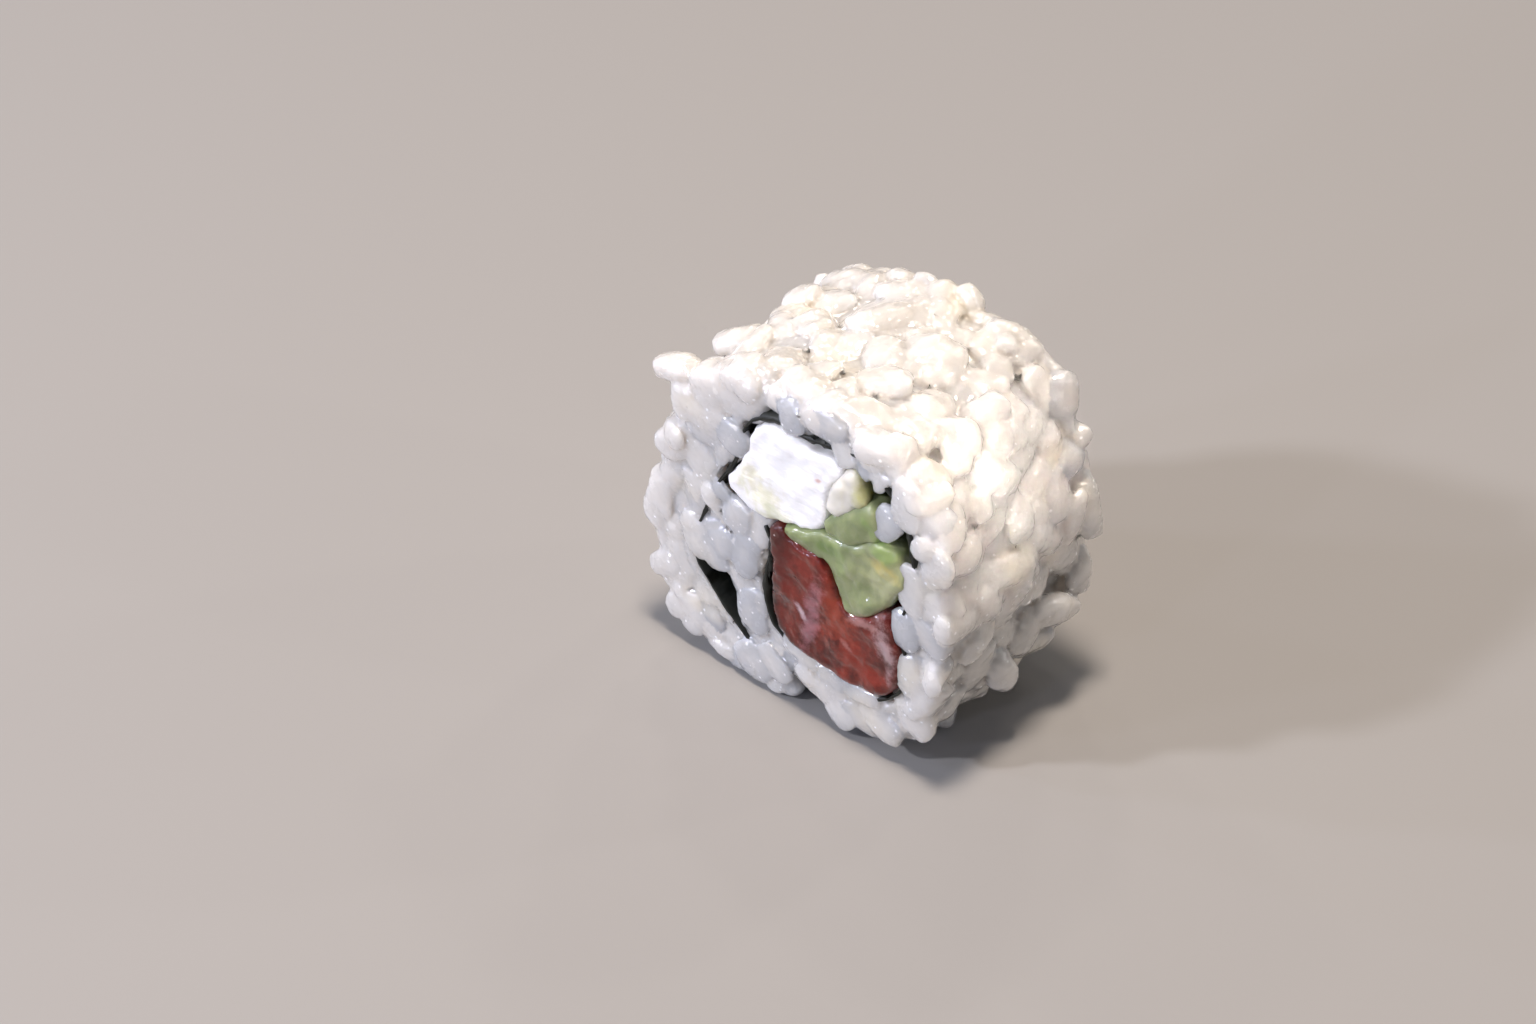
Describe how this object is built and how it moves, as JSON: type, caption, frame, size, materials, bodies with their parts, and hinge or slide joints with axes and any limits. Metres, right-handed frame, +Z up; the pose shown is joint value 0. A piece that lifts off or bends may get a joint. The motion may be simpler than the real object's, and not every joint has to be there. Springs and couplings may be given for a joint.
{
  "type": "sushi roll",
  "caption": "Slice of an inside-out sushi roll lying on its side: rice rolled round a nori sheet, filled with cream cheese, avocado and tuna.",
  "frame": {"origin": "under the middle of the slice, on the surface it rests on", "axes": "+Z up, +Y along the roll away from the shown cut face, +X to the right across the cut face"},
  "size_m": [0.045, 0.0264, 0.0439],
  "materials": {
    "rice": "cooked short-grain rice, white, translucent and slightly wet",
    "nori": "damp pressed seaweed sheet, near black",
    "cream_cheese": "smooth white cream cheese, knife cut",
    "avocado": "soft ripe avocado flesh, moist",
    "tuna": "raw red tuna, wet"
  },
  "bodies": {
    "root": {"rice": "rice", "nori": "nori", "cream_cheese": "cream_cheese", "avocado_top": "avocado", "avocado_middle": "avocado", "avocado_bottom": "avocado", "tuna": "tuna"}
  },
  "joints": []
}
